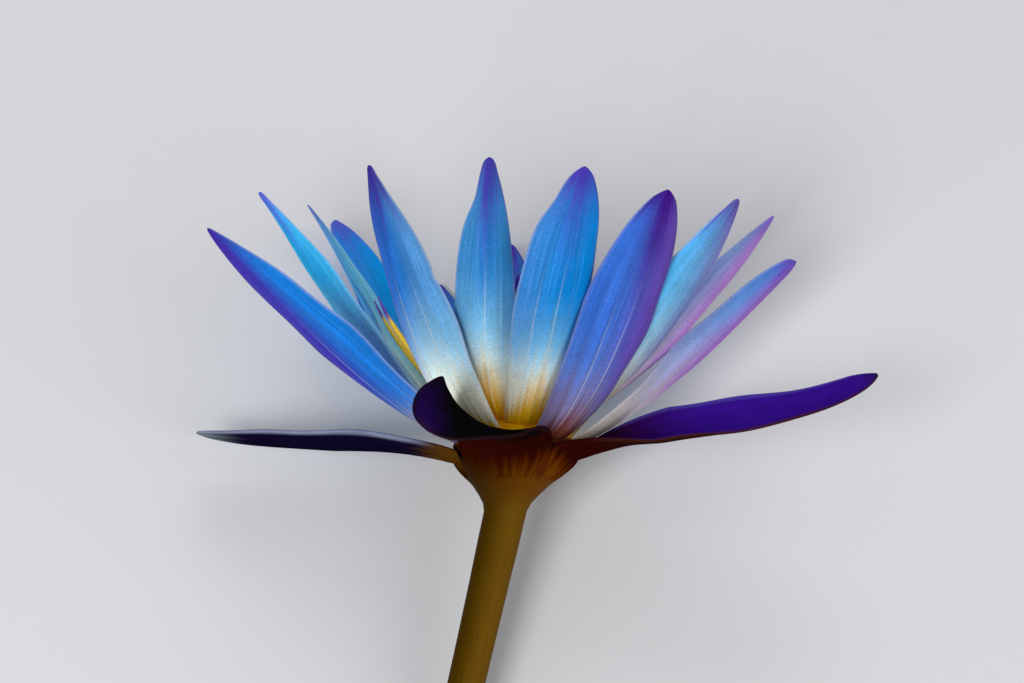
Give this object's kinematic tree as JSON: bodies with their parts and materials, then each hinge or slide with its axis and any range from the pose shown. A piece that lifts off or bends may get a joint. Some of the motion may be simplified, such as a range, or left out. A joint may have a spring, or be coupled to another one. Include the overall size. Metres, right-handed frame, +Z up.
{
  "type": "water lily flower",
  "caption": "Open water lily bloom with pointed petals round a brush of stamens, spread sepals and a cut length of stem, laid on its side.",
  "frame": {"origin": "centre of the bounding box at its lowest level, where the bloom and the stem's cut end lie on the table", "axes": "+Y from the stem's cut end towards the bloom, +X to the bloom's right as the picture shows it, +Z up from the table"},
  "size_m": [0.12, 0.1506, 0.0706],
  "materials": {
    "stem": "satin plant skin, olive to ochre, rust-red at the receptacle",
    "sepal": "satin, violet-blue inside and dark green-violet outside",
    "petal": "satin, cyan to violet-blue with a cream and yellow base",
    "stamen": "matt, yellow with violet tips",
    "pistil": "matt, yellow"
  },
  "bodies": {
    "root": {"stem": "stem", "sepal_front": "sepal", "sepal_right": "sepal", "sepal_rear": "sepal", "sepal_left": "sepal", "petal_01": "petal", "petal_02": "petal", "petal_03": "petal", "petal_04": "petal", "petal_05": "petal", "petal_06": "petal", "petal_07": "petal", "petal_08": "petal", "petal_09": "petal", "petal_10": "petal", "petal_11": "petal", "petal_12": "petal", "petal_13": "petal", "petal_14": "petal", "petal_15": "petal", "petal_16": "petal", "stamens": "stamen", "pistil": "pistil"}
  },
  "joints": []
}
